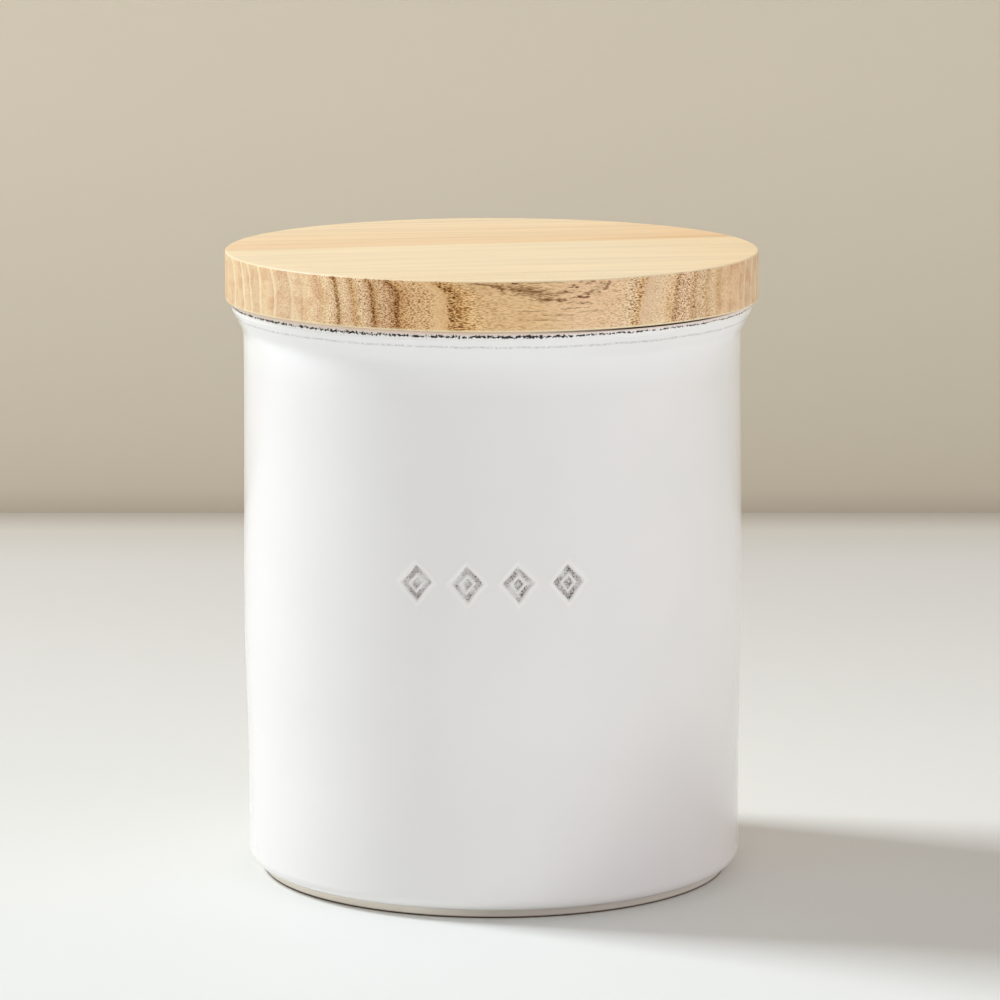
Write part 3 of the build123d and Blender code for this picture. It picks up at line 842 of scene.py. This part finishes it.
    # the darkest dashes of the U, with the fibres' ragged ends
    front, half_depth = -54, 30
    for x, z, half_length, half_height, slope, dark in dashes:
        dash = add(tree, "Mapping", {
            "Vector": point,
            "Location": (x, front, z),
            "Rotation": (0, radians(slope), 0),
            "Scale": (half_length, half_depth, half_height),
        }, vector_type="TEXTURE")["Vector"]
        dash = add(tree, "VectorMath", {0: dash}, operation="LENGTH")["Value"]
        dash = add(tree, "Math", {0: fibre, 1: -3.0, 2: dash}, operation="MULTIPLY_ADD")["Value"]
        dash = add(tree, "MapRange", {"Value": dash, 1: -1.0, 2: -0.1, 3: dark, 4: 0})["Result"]
        pore = add(tree, "Math", {0: pore, 1: dash}, operation="MAXIMUM")["Value"]
    pore = add(tree, "Math", {0: pore, 1: edge}, operation="MULTIPLY")["Value"]
    wood = add(tree, "Mix", {0: pore, 6: wood, 7: linear("#6c360a")}, data_type="RGBA")[2]

    # a darker band lies behind one ring on the face and fades away across the board
    wavy = add(tree, "Math", {0: axes["X"], 1: -0.052, 2: axes["Y"]}, operation="MULTIPLY_ADD")["Value"]
    wavy = add(tree, "Math", {0: slow, 1: 2.0, 2: wavy}, operation="MULTIPLY_ADD")["Value"]
    begins = add(tree, "MapRange", {
        "Value": wavy, 1: 5.8, 2: 12.4,
    }, interpolation_type="SMOOTHSTEP")["Result"]
    fades = add(tree, "MapRange", {"Value": wavy, 1: 14, 2: 46, 3: 1, 4: 0.3})["Result"]
    band = add(tree, "Math", {0: begins, 1: fades}, operation="MULTIPLY")["Value"]
    peach = add(tree, "VectorMath", {0: wood, 1: linear("#fceee2")[:3]}, operation="MULTIPLY")["Vector"]
    wood = add(tree, "Mix", {0: band, 6: wood, 7: peach}, data_type="RGBA")[2]
    seam = add(tree, "MapRange", {"Value": wavy, 1: 11.0, 2: 14.0, 3: 1, 4: 0})["Result"]
    seam_dark = add(tree, "MapRange", {"Value": axes["X"], 1: -10, 2: 24, 3: 0, 4: 1})["Result"]
    for limit in (seam_dark, begins):
        seam = add(tree, "Math", {0: seam, 1: limit}, operation="MULTIPLY")["Value"]
    drab = add(tree, "VectorMath", {0: wood, 1: linear("#f3ead8")[:3]}, operation="MULTIPLY")["Vector"]
    wood = add(tree, "Mix", {0: seam, 6: wood, 7: drab}, data_type="RGBA")[2]

    # the board is warmer at its far end
    warm = add(tree, "MapRange", {"Value": axes["X"], 1: 22, 2: 48, 3: 0, 4: 1.2})["Result"]
    warm = add(tree, "Math", {0: warm, 1: facing}, operation="MULTIPLY")["Value"]
    warmer = add(tree, "VectorMath", {0: wood, 1: linear("#fff9f2")[:3]}, operation="MULTIPLY")["Vector"]
    wood = add(tree, "Mix", {0: warm, 6: wood, 7: warmer}, data_type="RGBA", clamp_factor=True)[2]

    # painted highlight: the arrises are sanded round and painted paler where they catch the light
    arris_highlight = add(tree, "ValToRGB", {"Fac": facing}, stops=greys(
        (0.15, 0), (0.5, 1), (0.8, 1), (0.97, 0),
    ))["Color"]
    arris_highlight = add(tree, "Math", {0: arris_highlight, 1: 0.3}, operation="MULTIPLY")["Value"]
    wood = add(tree, "Mix", {0: arris_highlight, 6: wood, 7: linear("#fff0d2")}, data_type="RGBA")[2]

    # painted highlight: the lower arris is painted as a pale line, where it catches light from below
    lower_arris_highlight = add(tree, "MapRange", {"Value": axes["Z"], 1: 117.92, 2: 118.04, 3: 0.6, 4: 0})["Result"]
    lower_arris_highlight = add(tree, "Math", {0: lower_arris_highlight, 1: edge}, operation="MULTIPLY")["Value"]
    wood = add(tree, "Mix", {0: lower_arris_highlight, 6: wood, 7: linear("#fff2cc")}, data_type="RGBA")[2]

    # the finish soaks into the turned edge and warms it, more at one end of the board
    soak = add(tree, "MapRange", {"Value": axes["X"], 1: -40, 2: 30, 3: 1, 4: 0})["Result"]
    soak = add(tree, "Math", {0: soak, 1: edge}, operation="MULTIPLY")["Value"]
    warmed = add(tree, "VectorMath", {0: wood, 1: linear(soaked)[:3]}, operation="MULTIPLY")["Vector"]
    wood = add(tree, "Mix", {0: soak, 6: wood, 7: warmed}, data_type="RGBA")[2]

    # an open pore doesn't shine, nor does a hollow
    deep = add(tree, "MapRange", {"Value": stipple, 1: 0.0, 2: -0.9})["Result"]
    for opening in (hollow, pore):
        deep = add(tree, "Math", {0: deep, 1: opening}, operation="MAXIMUM")["Value"]
    shine = add(tree, "MapRange", {"Value": deep, 3: 0.5, 4: 0})["Result"]
    tree.links.new(wood, shader.inputs["Base Color"])
    tree.links.new(shine, shader.inputs["Specular IOR Level"])
    shader.inputs["Roughness"].default_value = 0.45
    shader.inputs["IOR"].default_value = 1.5
    return material


disc.data.materials.append(ash("satin_ash_board", radians(11), (3, 119.6), "#fffbf0"))
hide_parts("lid_disc")
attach(disc, "lid")

# --- Plug ---------------------------------------------------------------------------------------
# A smaller ash disc glued under the lid to centre it in the mouth. A groove is turned round it for
# the gasket. It is bare sanded wood, sawn from another board, so its grain runs another way.
plug_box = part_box("lid_plug")
plug_gap = 2 * mm
plug_radius = mouth_radius - plug_gap
plug_shoulder = 1.8 * mm
plug_round = 0.8 * mm
groove_height = 6 * mm
groove_depth = 2 * mm
groove_top = plug_box[1][2] - plug_shoulder
groove_bottom = groove_top - groove_height
groove_floor = plug_radius - groove_depth

plug = spun("ash_plug", spaced(rounded([
    (0, plug_box[0][2], 0),
    (plug_radius, plug_box[0][2], plug_round),
    (plug_radius, groove_bottom, 0),
    (groove_floor, groove_bottom, 0),
    (groove_floor, groove_top, 0),
    (plug_radius, groove_top, 0),
    (plug_radius, plug_box[1][2], 0),
    (0, plug_box[1][2], 0),
], turn=15), face_step), round_turned)
plug.data.materials.append(ash("sanded_ash_plug", radians(-24), (-6, 94), "#fffcf4"))
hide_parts("lid_plug")
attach(plug, "lid")

# --- Gasket -------------------------------------------------------------------------------------
# A ring moulded in translucent white silicone and stretched into the plug's groove. Its three thin
# fins sweep up and seal against the glazed mouth.
gasket_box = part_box("lid_gasket")
seal_clearance = 0.1 * mm
band_thickness = 1.6 * mm
band_inner_round = 0.2 * mm
band_outer_round = 0.1 * mm
gasket_inner = groove_floor + seal_clearance
gasket_outer = gasket_inner + band_thickness
gasket_tip = gasket_box[1][0]
fin_count = 3
fin_pitch = (gasket_box[1][2] - gasket_box[0][2]) / fin_count
fin_root = 0.9 * mm
fin_end = 0.5 * mm
fin_rise = 0.5 * mm
fin_round = 0.15 * mm

gasket_middle = (gasket_box[0][2] + gasket_box[1][2]) / 2
gasket_corners = [
    (gasket_inner, gasket_middle, 0),
    (gasket_inner, gasket_box[0][2], band_inner_round),
    (gasket_outer, gasket_box[0][2], band_outer_round),
]
for i in range(fin_count):
    root = gasket_box[0][2] + (i + 0.5) * fin_pitch - fin_rise / 2
    gasket_corners += [
        (gasket_outer, root - fin_root / 2, fin_round),
        (gasket_tip, root + fin_rise - fin_end / 2, fin_round),
        (gasket_tip, root + fin_rise + fin_end / 2, fin_round),
        (gasket_outer, root + fin_root / 2, fin_round),
    ]
gasket_corners += [
    (gasket_outer, gasket_box[1][2], band_outer_round),
    (gasket_inner, gasket_box[1][2], band_inner_round),
    (gasket_inner, gasket_middle, 0),
]
gasket = spun("silicone_gasket", rounded(gasket_corners, turn=30), round_turned)


def white_silicone():
    """Moulded silicone rubber, milky and half clear, with the soft satin of a bead-blasted mould."""
    material, tree, shader = new_material("moulded_white_silicone")
    place = add(tree, "TexCoord")["Object"]
    point = add(tree, "Mapping", {"Vector": place, "Scale": (1 / mm,) * 3})["Vector"]

    # cloudy patches a few millimetres across, and a blasted grain drawn 0.25 mm wide so that it shows
    cloud = add(tree, "TexNoise", {"Vector": point, "Scale": 1 / 4, "Detail": 2})["Fac"]
    milk = add(tree, "ValToRGB", {"Fac": cloud},
               stops=[(0.35, linear("#e3e4e1")), (0.65, linear("#eeeeeb"))])["Color"]
    grain = add(tree, "TexNoise", {"Vector": point, "Scale": 1 / 0.25, "Detail": 2})["Fac"]
    relief = add(tree, "Bump", {"Height": grain, "Distance": 0.02 * mm, "Strength": 0.5})["Normal"]
    tree.links.new(milk, shader.inputs["Base Color"])
    tree.links.new(relief, shader.inputs["Normal"])
    shader.inputs["Roughness"].default_value = 0.42
    shader.inputs["IOR"].default_value = 1.41
    shader.inputs["Subsurface Weight"].default_value = 0.35
    shader.inputs["Subsurface Scale"].default_value = 1.5 * mm
    shader.inputs["Subsurface Radius"].default_value = (1.0, 0.9, 0.8)
    return material


gasket.data.materials.append(white_silicone())
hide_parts("lid_gasket")
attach(gasket, "seal")
